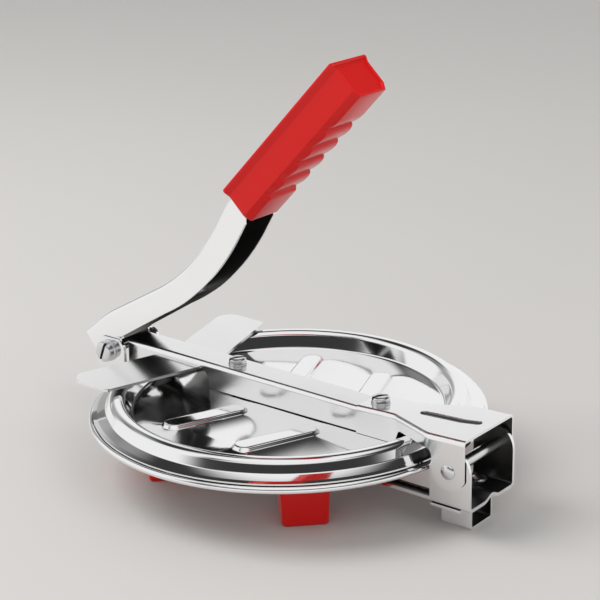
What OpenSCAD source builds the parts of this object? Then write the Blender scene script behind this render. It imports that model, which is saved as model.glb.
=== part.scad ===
// Hand press for rolling small round flatbreads: two pressed steel dishes,
// an arm that carries the upper one, and a swan-neck lever that pushes it down.
// +X runs along the arm towards the hinge, +Z is up, the feet stand on Z = 0.

/* [Dishes] */
// Outer diameter of the lower dish over its rolled rim
rim_d = 172; // [150:1:200]
// Sheet thickness of both dishes
dish_t = 1.0; // [0.8:0.1:1.4]
// Radius of the rolled wire edge of the lower dish
rim_roll_r = 1.45; // [1.2:0.05:2]
// Height of the rolling bed above the table
bed_top = 26.8; // [24:0.2:32]
// Rest gap between the bed and the upper dish
press_gap = 0.4; // [0.2:0.1:1.5]
// Distance from the outer rim to the crest of the upper dish
crest_in = 12.2; // [11:0.2:16]
// Distance from the crest to the flat floor of the upper dish
floor_in = 6.8; // [6:0.2:12]
// Height of the crest above the floor of the upper dish
crest_h = 7.9; // [6:0.1:8.5]
// Width of the four ribs pressed into the upper dish
rib_w = 11; // [8:1:13]
// Length of those ribs
rib_l = 40; // [30:1:44]
// Height of those ribs
rib_h = 1.3; // [0.8:0.1:2]

/* [Arm] */
// Height of the arm's top face above the table
arm_top = 42; // [41:0.5:48]
// Outside width of the arm
arm_w = 15.2; // [14:0.2:17]
// Depth of the arm's side flanges
arm_depth = 11.5; // [9:0.5:12]
// Sheet thickness of the arm, the yoke and the lever
sheet_t = 1.2; // [1:0.1:1.5]
// Distance from the lever pivot to the free end of the arm
arm_end_gap = 8.7; // [8.4:0.1:10]
// Distance between the tips of the two lifting wings
wing_span = 106; // [90:1:120]
// Width of a lifting wing along the arm
wing_w = 25; // [18:0.5:28]
// Sweep of the wings towards the lever
wing_sweep = 16.5; // [10:0.5:20]
// Depth of the wings' top face below the arm's top face
wing_drop = 2.7; // [2.2:0.1:4]

/* [Yoke and hinge] */
// Outside width of the yoke over its ears
yoke_w = 36.4; // [34:0.2:42]
// Distance from the rim to the hinge pin
hinge_gap = 9; // [9:0.5:12]
// Height of the hinge pin above the table
hinge_z = 28.5; // [27.5:0.5:30]
// Radius of the rounded ears round the hinge pin
ear_r = 8; // [7:0.25:8.5]
// Radius of the hinge pin
pin_r = 2.5; // [2:0.1:3]
// Sheet thickness of the hinge bracket and the lever fork
bracket_t = 1.5; // [1.2:0.1:2]
// Height of the underside of the hinge bracket
bracket_z = 12; // [11:0.5:14]
// Width of the leg under the hinge
leg_w = 16; // [14:0.5:20]

/* [Lever] */
// Distance from the rim to the lever pivot
pivot_gap = 10.5; // [10:0.5:12]
// Height of the lever pivot above the table
pivot_z = 36; // [35:0.5:37]
// Radius of the pivot screw
pivot_r = 2.5; // [2:0.1:3]
// Outside width of the lever
lever_w = 20; // [19.4:0.2:21]
// Radius of the press pin that crosses the lever
press_pin_r = 2; // [1.8:0.1:2.4]
// Length of the plastic grip
grip_l = 84; // [70:1:100]
// Width of the grip
grip_w = 23.4; // [23:0.1:26]
// Height of the grip
grip_h = 17.6; // [17:0.1:20]
// Number of finger ribs under the grip
finger_ribs = 5; // [3:1:6]

/* [Feet] */
// Side of a square foot
foot_w = 21; // [16:0.5:24]
// Distance from the outer rim to the outer face of a foot
foot_in = 23.5; // [18:0.5:30]
// Draft of a foot, narrower at the table on each side
foot_draft = 0.8; // [0.4:0.1:1.5]

/* [Fits] */
// Radial running clearance of a pin in its bore
pin_fit = 0.05; // [0.03:0.01:0.1]
// Side clearance between sheets that turn past each other
side_fit = 0.4; // [0.3:0.05:0.6]
// Clearance of a screw or rivet in its hole
screw_fit = 0.04; // [0.02:0.01:0.1]
// Clearance between the yoke and the arm nested in it
nest_fit = 0.05; // [0.03:0.01:0.15]

/* [Hidden] */
$fn = 96;
dish_fn = 180;
cut = 0.5;

// Lower dish
rim_r = rim_d / 2;
roll_z = bed_top + 0.3;
roll_mid_r = rim_r - rim_roll_r;
crest_r = rim_r - crest_in;
floor_r = crest_r - floor_in;
hinge_x = rim_r + hinge_gap;
pivot_x = rim_r + pivot_gap;
dish_under = bed_top - dish_t;

// Upper dish: a flat floor, a steep wall, a round crest and a stepped flange
upper_under = bed_top + press_gap;
upper_floor = upper_under + dish_t;
crest_z = upper_floor + crest_h;
crest_round = 3.4;
flange_r = rim_r - rim_roll_r - 0.3;
flange_t = 0.6;
flange_z = roll_z + rim_roll_r + press_gap + flange_t;
step_r = flange_r - 5.6;
step_z = flange_z + 1.3;
crest_fit = 0.6;
rib_lean = 68;
rib_mid_y = 33.5;
rib_xs = [-18.5, 20.5];

// Arm and yoke
arm_web_z = arm_top - sheet_t;
arm_low = arm_top - arm_depth;
yoke_t = 1.0;
yoke_top = arm_top + yoke_t;
yoke_neck_w = arm_w + 2 * (yoke_t + nest_fit);
neck_l = 17.5;
yoke_reach = 52;
neck_x0 = hinge_x - yoke_reach;
neck_x1 = neck_x0 + neck_l;
flare_x0 = neck_x1 + 1.5;
flare_x1 = hinge_x - 10.5;
yoke_low = upper_floor + 0.35;
yoke_end = hinge_x + 7.3;
flare_low = crest_z + 0.7;
arm_end_x = neck_x1 - 1;
arm_reach = pivot_x - arm_end_gap;
wing_t = 1.0;
wing_top = arm_top - wing_drop;
wing_x0 = -(rim_r - 17);
wing_x1 = wing_x0 + wing_w;
wing_tip_r = 7;
slot_l = 24;
slot_w = 1.8;
slot_x = hinge_x - 24;
slot_deep = 0.5;

// Screws that hold the upper dish
screw_xs = [-28.3, neck_x0 + 6.5];
screw_r = 2;
screw_head_r = 3.6;
screw_head_h = 2.2;
washer_r = 4.1;
washer_t = 1.3;
pillar_r = 3.6;
slot_cut = 1.1;

// Base
channel_w = 23.4;
channel_t = 1.2;
bracket_w = yoke_w - 2 * (sheet_t + side_fit);
rim_fit = 0.6;
bracket_x0 = rim_r - 0.7;
bracket_x1 = hinge_x + 9.2;
bracket_tail_l = 45;
bracket_tail = hinge_x - bracket_tail_l;
channel_z = bracket_z + bracket_t;
channel_in = 3.5;
channel_l = rim_r - channel_in;
bead_w = 9;
bead_h = 1.8;
leg_x1 = bracket_x1 - 4.8;
leg_t = 1.2;
lip_w = bracket_w - 1.2;
fork_w = lever_w + 2 * (side_fit + bracket_t);
fork_x0 = -pivot_x - 7.2;
fork_x1 = -(rim_r + rim_fit);
fork_top = pivot_z + 5.8;
fork_tail_l = 46.5;
fork_tail = fork_tail_l - pivot_x;
rivet_r = 2;
rivet_head_r = 3.4;
rivet_head_h = 1.2;
base_screw_xs = [-30, 30];

// Feet, turned by 45 degrees so that a face looks outwards
foot_mid_r = rim_r - foot_in - foot_w / 2;
foot_edge = 2;
foot_recess = 8;

// Lever spine: the outer face of its web as straights and bends, each point with its heading
lever_start = [-pivot_x - 16.7, pivot_z + 5.7];
lever_half = lever_w / 2;
press_pin_x = 42 - pivot_x;
press_pin_z = pivot_z + 33;
knuckle_r = 7.5;
grip_end_l = 13;
tang_l = grip_l - grip_end_l;
grip_cover = 4.2;
grip_chamfer_top = 2.6;
grip_chamfer_low = 3.4;
finger_pitch = 10.6;
finger_first = 23.7;
finger_deep = 2.2;
tail_r = 1.3;
hollow_deep = 14;

// A step of length d along heading h, with the flange depth at its end
function go(s, d, depth) = [s[0] + d * cos(s[2]), s[1] + d * sin(s[2]), s[2], depth];
// A bend of radius r through the angle turn, positive to the left, in n steps
function bend(s, r, turn, depth, n) = let (k = turn > 0 ? 1 : -1)
    [for (i = [1:n]) let (a = turn * i / n)
        [s[0] + k * r * (sin(s[2] + a) - sin(s[2])), s[1] - k * r * (cos(s[2] + a) - cos(s[2])),
         s[2] + a, s[3] + (depth - s[3]) * i / n]];
function last(v) = v[len(v) - 1];
root_depth = 14;
root_l = 12;
root_bend_r = 60;
shank_l = 31;
neck_bend_r = 104;
throat_l = 10;
tang_bend_r = 25;
root_slope = 39;
neck_depth = 11.8;
throat_depth = 13;
tang_depth = 9;
spine_a = [[lever_start[0], lever_start[1], root_slope, root_depth]];
spine_b = concat(spine_a, [go(last(spine_a), root_l, root_depth)]);
spine_c = concat(spine_b, bend(last(spine_b), root_bend_r, -10, throat_depth, 4));
spine_d = concat(spine_c, [go(last(spine_c), shank_l, neck_depth)]);
spine_e = concat(spine_d, bend(last(spine_d), neck_bend_r, 30, throat_depth, 12));
spine_f = concat(spine_e, [go(last(spine_e), throat_l, throat_depth)]);
spine_g = concat(spine_f, bend(last(spine_f), tang_bend_r, -13, tang_depth + 2, 5));
spine = concat(spine_g, [go(last(spine_g), tang_l, tang_depth)]);
grip_heading = last(spine)[2];
// The mouth of the grip lies at the end of the top bend
grip_base = go(last(spine_g), -0.6, 0);

// A point at the depth d under the spine station s
function under(s, d) = [s[0] + d * sin(s[2]), s[1] - d * cos(s[2])];
function flip(v) = [for (i = [len(v) - 1:-1:0]) v[i]];

// The box of the whole press is centred on the origin
left_end = lever_start[0];
right_end = bracket_x1;
shift_x = -(left_end + right_end) / 2;

module placed() {
    translate([shift_x, 0, 0]) children();
}

// Extrudes an outline drawn in X and Z along Y, centred, w wide
module side_plate(w) {
    rotate([90, 0, 0]) translate([0, 0, -w / 2]) linear_extrude(w) children();
}

module slot_shape(l, w) {
    square([l - w, w], center = true);
    for (s = [-1, 1]) translate([s * (l - w) / 2, 0]) circle(w / 2);
}

module bed_screw_holes(r) {
    for (x = base_screw_xs) translate([x, 0, dish_under - cut]) cylinder(h = dish_t + 2 * cut, r = r);
}

module foot_places() {
    for (i = [0:3]) rotate(45 + 90 * i) translate([foot_mid_r, 0, 0]) children();
}

// The lower dish is a flat bed with an edge rolled outwards
module base_dish() {
    color("gainsboro") placed() difference() {
        rotate_extrude($fn = dish_fn) union() {
            translate([0, dish_under]) square([roll_mid_r, dish_t]);
            translate([roll_mid_r, roll_z]) circle(rim_roll_r, $fn = 32);
        }
        bed_screw_holes(rivet_r + screw_fit);
        foot_places() translate([0, 0, dish_under - cut])
            cylinder(h = dish_t + 2 * cut, r = screw_r + screw_fit);
    }
}

// A folded channel under the bed joins the hinge bracket to the lever fork
module base_channel() {
    height = dish_under - channel_z;
    color("silver") placed() difference() {
        translate([-channel_l, -channel_w / 2, channel_z]) cube([2 * channel_l, channel_w, height]);
        translate([-channel_l - cut, -channel_w / 2 + channel_t, channel_z + channel_t])
            cube([2 * (channel_l + cut), channel_w - 2 * channel_t, height]);
        for (x = base_screw_xs) translate([x, 0, channel_z - cut])
            cylinder(h = channel_t + 2 * cut, r = rivet_r + screw_fit);
        rivet_holes(hinge_rivet_places, channel_z - cut, channel_t + 2 * cut);
        rivet_holes(fork_rivet_places, channel_z - cut, channel_t + 2 * cut);
    }
}

// Screws welded flush into the bed, each with a nut under the channel
module base_screws() {
    nut_h = 3;
    low = channel_z - nut_h - 1;
    color("silver") placed() for (x = base_screw_xs) translate([x, 0, 0]) {
        translate([0, 0, low]) cylinder(h = bed_top - low, r = rivet_r);
        translate([0, 0, channel_z - nut_h]) cylinder(h = nut_h, r = rivet_head_r, $fn = 6);
    }
}

hinge_rivet_places = [for (x = [35, 19], y = [-7, 7]) [hinge_x - x, y]];
fork_rivet_places = [for (x = [36.5, 20.5], y = [-5, 5]) [x - pivot_x, y]];
leg_rivet_places = [for (s = [-1, 1]) [hinge_x - 4.5, s * (leg_w / 2 + rivet_head_r + 0.15)]];

module rivet_holes(places, z, h) {
    for (p = places) translate([p[0], p[1], z]) cylinder(h = h, r = rivet_r + screw_fit);
}

// Rivets with a flat head under the sheets and a round one above
module rivets(places, low, high) {
    for (p = places) translate([p[0], p[1], 0]) {
        translate([0, 0, low]) cylinder(h = high - low, r = rivet_r);
        translate([0, 0, low - rivet_head_h]) cylinder(h = rivet_head_h, r1 = 2.6, r2 = rivet_head_r);
        translate([0, 0, high]) cylinder(h = rivet_head_h, r1 = rivet_head_r, r2 = 2.6);
    }
}

// The wall of the hinge bracket, seen from the side
module bracket_wall_shape() {
    translate([hinge_x, hinge_z]) circle(hinge_x - bracket_x0 - cut);
    translate([bracket_x0, bracket_z]) square([bracket_x1 - bracket_x0, hinge_z - bracket_z]);
}

// A U bracket whose floor runs back under the channel, with a bead pressed into its mouth
module hinge_bracket() {
    inner = bracket_w - 2 * bracket_t;
    color("silver") placed() difference() {
        union() {
            difference() {
                side_plate(bracket_w) bracket_wall_shape();
                translate([bracket_x0 - cut, -inner / 2, bracket_z + bracket_t])
                    cube([bracket_x1, inner, fork_top]);
            }
            translate([bracket_tail, -bracket_w / 2, bracket_z])
                cube([bracket_x1 - bracket_tail, bracket_w, bracket_t]);
            bead(bracket_z + bracket_t);
        }
        bead_hollow();
        translate([hinge_x, bracket_w, hinge_z]) rotate([90, 0, 0])
            cylinder(h = 2 * bracket_w, r = pin_r + pin_fit);
        rivet_holes(hinge_rivet_places, bracket_z - cut, bracket_t + 2 * cut);
        rivet_holes(leg_rivet_places, bracket_z - cut, bracket_t + 2 * cut);
    }
}

module bead(z) {
    intersection() {
        translate([bracket_x0, 0, z - bead_w / 2 + bead_h]) rotate([0, 90, 0])
            cylinder(h = bracket_x1 - bracket_x0, r = bead_w / 2);
        translate([bracket_x0 - cut, -bead_w / 2, z - cut / 10]) cube([bracket_x1, bead_w, bead_w]);
    }
}

module bead_hollow() {
    translate([bracket_x0 - cut, 0, bracket_z - bead_w / 2 + bead_h]) rotate([0, 90, 0])
        cylinder(h = bracket_x1 - bracket_x0 + 2 * cut, r = bead_w / 2 - 0.2);
}

module hinge_rivets() {
    color("silver") placed() rivets(hinge_rivet_places, bracket_z, channel_z + channel_t);
}

// A folded leg with two lips stands under the mouth of the hinge bracket
module hinge_leg() {
    l = leg_x1 - bracket_x0;
    color("silver") placed() difference() {
        translate([bracket_x0, 0, 0]) union() {
            difference() {
                translate([0, -leg_w / 2, 0]) cube([l, leg_w, bracket_z]);
                translate([-cut, -leg_w / 2 + leg_t, leg_t])
                    cube([l + 2 * cut, leg_w - 2 * leg_t, bracket_z]);
            }
            for (s = [-1, 1]) translate([0, s > 0 ? leg_w / 2 - leg_t : -lip_w / 2, bracket_z - leg_t])
                cube([l, lip_w / 2 - leg_w / 2 + leg_t, leg_t]);
        }
        rivet_holes(leg_rivet_places, bracket_z - leg_t - cut, leg_t + 2 * cut);
    }
}

module leg_rivets() {
    color("silver") placed() rivets(leg_rivet_places, bracket_z - leg_t, bracket_z + bracket_t);
}

// A U bracket with two tall ears that hold the lever
module lever_fork() {
    inner = fork_w - 2 * bracket_t;
    ear_l = fork_x1 - fork_x0;
    corner = 4;
    color("silver") placed() difference() {
        union() {
            difference() {
                side_plate(fork_w) union() {
                    translate([fork_x0, bracket_z]) square([ear_l, fork_top - bracket_z - corner]);
                    translate([fork_x0 + corner, bracket_z])
                        square([ear_l - 2 * corner, fork_top - bracket_z]);
                    for (x = [fork_x0 + corner, fork_x1 - corner])
                        translate([x, fork_top - corner]) circle(corner);
                }
                translate([fork_x0 - cut, -inner / 2, bracket_z + bracket_t])
                    cube([ear_l + 2 * cut, inner, fork_top]);
            }
            translate([fork_x0, -fork_w / 2, bracket_z]) cube([fork_tail - fork_x0, fork_w, bracket_t]);
        }
        translate([-pivot_x, fork_w, pivot_z]) rotate([90, 0, 0])
            cylinder(h = 2 * fork_w, r = pivot_r + pin_fit);
        rivet_holes(fork_rivet_places, bracket_z - cut, bracket_t + 2 * cut);
    }
}

module fork_rivets() {
    color("silver") placed() rivets(fork_rivet_places, bracket_z, channel_z + channel_t);
}

// A moulded block with a slight draft and a hole for its screw
module foot(i) {
    a = foot_w / 2;
    b = a - foot_draft;
    e = foot_edge;
    color("red") placed() rotate(45 + 90 * i) translate([foot_mid_r, 0, 0]) difference() {
        intersection() {
            side_plate(foot_w) polygon([[-b + e / 2, 0], [b - e / 2, 0], [b, e / 2], [a, dish_under],
                [-a, dish_under], [-b, e / 2]]);
            rotate(90) side_plate(foot_w) polygon([[-b + e / 2, 0], [b - e / 2, 0], [b, e / 2],
                [a, dish_under], [-a, dish_under], [-b, e / 2]]);
            linear_extrude(dish_under) polygon([[-a, -a + e], [-a + e, -a], [a - e, -a], [a, -a + e],
                [a, a - e], [a - e, a], [-a + e, a], [-a, a - e]]);
        }
        translate([0, 0, -cut]) cylinder(h = dish_under + 2 * cut, r = screw_r + screw_fit);
        translate([0, 0, -cut]) cylinder(h = foot_recess + cut, r = screw_head_r + screw_fit);
    }
}

module foot_hinge_back() { foot(0); }
module foot_lever_back() { foot(1); }
module foot_lever_front() { foot(2); }
module foot_hinge_front() { foot(3); }

module foot_screws() {
    color("silver") placed() foot_places() {
        translate([0, 0, foot_recess]) cylinder(h = bed_top - foot_recess, r = screw_r);
        translate([0, 0, foot_recess - screw_head_h]) cylinder(h = screw_head_h, r = screw_head_r);
    }
}

// The pin is held in the bracket, and its round heads stand outside the yoke's ears
module hinge_pin() {
    head_r = 3.2;
    head_t = 1.4;
    out = yoke_w / 2 + pin_fit;
    color("silver") placed() translate([hinge_x, 0, hinge_z]) rotate([90, 0, 0]) {
        cylinder(h = 2 * out, r = pin_r, center = true);
        for (s = [-1, 1]) scale([1, 1, s]) translate([0, 0, out])
            cylinder(h = head_t, r1 = head_r, r2 = head_r - 0.5);
    }
}

// Section of the upper dish as a line of radius and height
wall_foot = floor_r + 1;
wall_top = crest_r - crest_round;
dish_line = concat([[0, upper_floor], [floor_r, upper_floor], [wall_foot, upper_floor + 0.4],
        [wall_foot + 0.6, upper_floor + 1.4], [wall_top, crest_z - crest_round]],
    [for (a = [160:-20:20]) [crest_r + crest_round * cos(a), crest_z - crest_round + crest_round * sin(a)]],
    [[step_r, step_z + 0.9], [step_r + 0.5, step_z], [flange_r - 1.5, flange_z + 0.25],
        [flange_r, flange_z]]);
dish_last = len(dish_line) - 1;
dish_low = [for (i = [0:dish_last])
    [dish_line[i][0], dish_line[i][1] - (i > dish_last - 2 ? flange_t : dish_t)]];

module rib_shape(grow) {
    for (x = rib_xs, s = [-1, 1]) translate([x, s * rib_mid_y]) rotate(-s * rib_lean)
        slot_shape(rib_l + grow, rib_w + grow);
}

// The upper dish has a flat floor, a crest and four pressed ribs
module upper_dish() {
    color("whitesmoke") placed() difference() {
        union() {
            rotate_extrude($fn = dish_fn) polygon(concat(dish_line, flip(dish_low)));
            translate([0, 0, upper_floor - dish_t / 2]) linear_extrude(rib_h + dish_t / 2) rib_shape(0);
        }
        translate([0, 0, upper_under - cut]) linear_extrude(rib_h + cut) rib_shape(-2 * dish_t);
    }
}

// One lifting wing: a swept tab with round corners, to the side s
module wing(s) {
    reach = wing_span / 2;
    root = arm_w / 2 - sheet_t;
    r = wing_tip_r;
    lean = (reach - arm_w / 2) * tan(wing_sweep);
    back = wing_x0 - lean + r * tan(wing_sweep) - 0.5;
    front = wing_x1 - lean;
    translate([0, 0, wing_top - wing_t]) linear_extrude(wing_t) scale([1, s]) difference() {
        union() {
            polygon([[wing_x0, 0], [wing_x1, 0], [wing_x1, arm_w / 2],
                [front + 3 * tan(wing_sweep), reach - 3], [front - 2, reach], [back + r, reach],
                [back, reach - r], [wing_x0, arm_w / 2]]);
            translate([back + r, reach - r]) circle(r);
        }
        translate([wing_x0 - wing_span, -cut]) square([2 * wing_span, root + cut]);
    }
}

// The arm is one folded channel; its wings are cut from the flanges and bent out
module press_arm() {
    inner = arm_w - 2 * sheet_t;
    color("gainsboro") placed() difference() {
        union() {
            difference() {
                translate([-arm_reach, -arm_w / 2, arm_low]) cube([arm_reach + arm_end_x, arm_w, arm_depth]);
                translate([-arm_reach - cut, -inner / 2, arm_low - cut])
                    cube([arm_reach + arm_end_x + 2 * cut, inner, arm_depth - sheet_t + cut]);
                side_plate(arm_w + 2 * cut) union() {
                    translate([wing_x0, arm_low - cut])
                        square([wing_w, arm_depth - wing_drop + cut - wing_t / 2]);
                    translate([wing_x1, wing_top - 6]) circle(5);
                    translate([wing_x1, arm_low - cut]) square([5, wing_top - 6 - arm_low + cut]);
                    translate([-crest_r, crest_z - crest_round]) circle(crest_round + crest_fit);
                    translate([-step_r - crest_fit, arm_low - cut])
                        square([step_r + crest_fit + wing_x0 + cut, crest_z - crest_round - arm_low + cut]);
                    translate([-flange_r + 1.5, arm_low - cut])
                        square([flange_r - 1.5 + wing_x0, step_z + crest_fit - arm_low + cut]);
                }
            }
            for (s = [-1, 1]) wing(s);
        }
        for (x = screw_xs) translate([x, 0, arm_low]) cylinder(h = arm_top, r = screw_r + screw_fit);
    }
}

// Half outline of the yoke seen from above, w less than the full half width
function yoke_half(w) = [[neck_x0 - (w > 0 ? cut : 0), yoke_neck_w / 2 - w], [flare_x0, yoke_neck_w / 2 - w],
    [flare_x1, yoke_w / 2 - w], [yoke_end + (w > 0 ? cut : 0), yoke_w / 2 - w]];
function across(v) = [for (p = flip(v)) [p[0], -p[1]]];

// The yoke grips the end of the arm and flares out to two ears over the hinge
module hinge_yoke() {
    color("gainsboro") placed() difference() {
        intersection() {
            translate([0, 0, hinge_z - ear_r]) linear_extrude(yoke_top - hinge_z + ear_r)
                polygon(concat(yoke_half(0), across(yoke_half(0))));
            side_plate(yoke_w + 2) union() {
                translate([neck_x0, yoke_low]) square([neck_x1 - neck_x0, yoke_top - yoke_low]);
                translate([neck_x0, flare_low]) square([yoke_end - neck_x0, yoke_top - flare_low]);
                translate([hinge_x - ear_r, hinge_z])
                    square([yoke_end - hinge_x + ear_r, yoke_top - hinge_z]);
                intersection() {
                    translate([hinge_x, hinge_z]) circle(ear_r);
                    translate([hinge_x - 2 * ear_r, 0]) square([2 * ear_r + yoke_end - hinge_x, yoke_top]);
                }
            }
        }
        translate([0, 0, hinge_z - ear_r - cut]) linear_extrude(yoke_top - yoke_t - hinge_z + ear_r + cut)
            polygon(concat(yoke_half(yoke_t), across(yoke_half(yoke_t))));
        translate([slot_x + slot_l / 2, 0, yoke_top - slot_deep]) linear_extrude(slot_deep + cut)
            slot_shape(slot_l, slot_w);
        translate([hinge_x, yoke_w, hinge_z]) rotate([90, 0, 0])
            cylinder(h = 2 * yoke_w, r = pin_r + pin_fit);
        translate([screw_xs[1], 0, arm_top - cut]) cylinder(h = yoke_t + 2 * cut, r = screw_r + screw_fit);
    }
}

// A threaded pillar welded to the dish takes the screw
module pillar(x) {
    color("silver") placed() translate([x, 0, upper_floor]) difference() {
        cylinder(h = arm_web_z - upper_floor, r = pillar_r);
        translate([0, 0, 1.5]) cylinder(h = arm_top, r = screw_r + screw_fit);
    }
}
module pillar_lever() { pillar(screw_xs[0]); }
module pillar_hinge() { pillar(screw_xs[1]); }

module washer(x, z) {
    color("silver") placed() translate([x, 0, z]) difference() {
        cylinder(h = washer_t, r = washer_r);
        translate([0, 0, -cut]) cylinder(h = washer_t + 2 * cut, r = screw_r + screw_fit);
    }
}
module washer_lever() { washer(screw_xs[0], arm_top); }
module washer_hinge() { washer(screw_xs[1], yoke_top); }

// A slotted cheese-head screw that stands on the height z
module slotted_screw(z, l) {
    difference() {
        union() {
            translate([0, 0, z]) cylinder(h = screw_head_h, r = screw_head_r);
            translate([0, 0, z - l]) cylinder(h = l, r = screw_r);
        }
        translate([-screw_head_r - cut, -slot_cut / 2, z + screw_head_h - 1.1])
            cube([2 * (screw_head_r + cut), slot_cut, 2]);
    }
}
module screw_lever() {
    color("silver") placed() translate([screw_xs[0], 0, 0]) rotate(60) slotted_screw(arm_top + washer_t, 10);
}
module screw_hinge() {
    color("silver") placed() translate([screw_xs[1], 0, 0]) rotate(60) slotted_screw(yoke_top + washer_t, 11);
}

// The swan-neck lever is a folded channel, open towards the arm
module lever() {
    first = spine[0];
    end = last(spine);
    outer = [for (s = spine) [s[0], s[1]]];
    low = [for (s = spine) under(s, s[3])];
    hollow_top = concat([under(go(first, -2, 0), sheet_t)], [for (s = spine) under(s, sheet_t)],
        [under(go(end, 2, 0), sheet_t)]);
    hollow_low = concat([under(go(first, -2, 0), root_depth + hollow_deep)],
        [for (s = spine) under(s, s[3] + hollow_deep)], [under(go(end, 2, 0), tang_depth + hollow_deep)]);
    color("whitesmoke") placed() difference() {
        union() {
            side_plate(lever_w) polygon(concat(outer, flip(low)));
            translate([-pivot_x, 0, pivot_z]) rotate([90, 0, 0])
                cylinder(h = lever_w, r = knuckle_r, center = true);
        }
        side_plate(lever_w - 2 * sheet_t) polygon(concat(hollow_top, flip(hollow_low)));
        translate([-pivot_x, lever_w, pivot_z]) rotate([90, 0, 0])
            cylinder(h = 2 * lever_w, r = pivot_r + pin_fit);
        translate([press_pin_x, lever_w, press_pin_z]) rotate([90, 0, 0])
            cylinder(h = 2 * lever_w, r = tail_r + screw_fit);
    }
}

// The pin between the flanges pushes the arm down
module press_pin() {
    color("silver") placed() translate([press_pin_x, 0, press_pin_z]) rotate([90, 0, 0]) {
        cylinder(h = lever_w - 2 * sheet_t - 0.1, r = press_pin_r, center = true);
        cylinder(h = lever_w, r = tail_r, center = true);
    }
}

// Side outline of the grip along its own X, with its top face at Y = 0
// Each tooth rises steeply from its notch and falls away gently to the next one
function tooth(t) = t <= 0 ? 0 : t >= 1 ? 0 : pow(sin(180 * pow(t, 0.55)), 0.8);
function finger_dip(u) = let (k = (u - finger_first) / finger_pitch)
    k < -0.7 ? 0 : k < 0 ? finger_deep * pow(1 + k / 0.7, 1.5)
    : k < finger_ribs - 1 ? finger_deep * (1 - 0.85 * tooth(k - floor(k)) - 0.15 * sin(180 * (k - floor(k))))
    : finger_deep * max(0, 1 - 4 * (k - finger_ribs + 1));
finger_step = finger_pitch / 10;
function grip_low() = [for (i = [0:floor(grip_l / finger_step) - 1])
    let (u = i * finger_step + (finger_first % finger_step)) [grip_l - u, -grip_h + finger_dip(u)]];

// The grip is a moulded sleeve with chamfered edges and finger ribs below
module lever_grip() {
    at = under(grip_base, -grip_cover);
    w = grip_w / 2;
    c = grip_chamfer_top;
    d = grip_chamfer_low;
    color("red") placed() difference() {
        translate([at[0], 0, at[1]]) rotate([0, -grip_heading, 0]) intersection() {
            side_plate(grip_w + 2) polygon(concat([[0.6, 0], [0, -0.6], [0, -grip_h]],
                flip(grip_low()), [[grip_l, -grip_h], [grip_l, -1.2], [grip_l - 1.2, 0]]));
            rotate([90, 0, 90]) linear_extrude(grip_l) polygon([[-w + c, 0], [w - c, 0], [w, -c],
                [w, -grip_h + d], [w - d, -grip_h], [-w + d, -grip_h], [-w, -grip_h + d], [-w, -c]]);
        }
        side_plate(lever_w + 2 * nest_fit) polygon(concat(
            [for (s = spine) under(s, -nest_fit)], [under(go(last(spine), nest_fit, 0), -nest_fit)],
            [under(go(last(spine), nest_fit, 0), tang_depth + nest_fit)],
            flip([for (s = spine) under(s, s[3] + nest_fit)])));
    }
}

// The pivot: a slotted screw, a washer under its head and a nut behind
pivot_head_r = 4.7;
pivot_head_t = 2.8;
pivot_washer_r = 5.0;
pivot_washer_t = 1.4;
pivot_out = fork_w / 2 + pin_fit;
nut_t = 4;

module pivot_screw() {
    color("silver") placed() translate([-pivot_x, 0, pivot_z]) rotate([90, 0, 0]) difference() {
        union() {
            translate([0, 0, -pivot_out - nut_t])
                cylinder(h = 2 * pivot_out + nut_t + pivot_washer_t, r = pivot_r);
            translate([0, 0, pivot_out + pivot_washer_t]) cylinder(h = pivot_head_t, r = pivot_head_r);
        }
        translate([0, 0, pivot_out + pivot_washer_t + pivot_head_t]) rotate(-20)
            cube([slot_cut, 4 * pivot_head_r, 2.4], center = true);
    }
}

module pivot_washer() {
    color("silver") placed() translate([-pivot_x, -pivot_out, pivot_z]) rotate([90, 0, 0]) difference() {
        cylinder(h = pivot_washer_t, r = pivot_washer_r);
        translate([0, 0, -cut]) cylinder(h = pivot_washer_t + 2 * cut, r = pivot_r + screw_fit);
    }
}

module pivot_nut() {
    color("silver") placed() translate([-pivot_x, pivot_out + nut_t, pivot_z]) rotate([90, 0, 0])
        difference() {
        cylinder(h = nut_t, r = pivot_washer_r, $fn = 6);
        translate([0, 0, -cut]) cylinder(h = nut_t + 2 * cut, r = pivot_r + screw_fit);
    }
}

base_dish();
base_channel();
base_screws();
hinge_bracket();
hinge_rivets();
hinge_leg();
leg_rivets();
lever_fork();
fork_rivets();
foot_hinge_front();
foot_hinge_back();
foot_lever_front();
foot_lever_back();
foot_screws();
hinge_pin();
upper_dish();
press_arm();
hinge_yoke();
pillar_lever();
pillar_hinge();
screw_lever();
screw_hinge();
washer_lever();
washer_hinge();
lever();
press_pin();
lever_grip();
pivot_screw();
pivot_washer();
pivot_nut();
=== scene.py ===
import math

import bmesh
import bpy
from mathutils import Matrix, Vector
from mathutils.geometry import delaunay_2d_cdt


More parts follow.
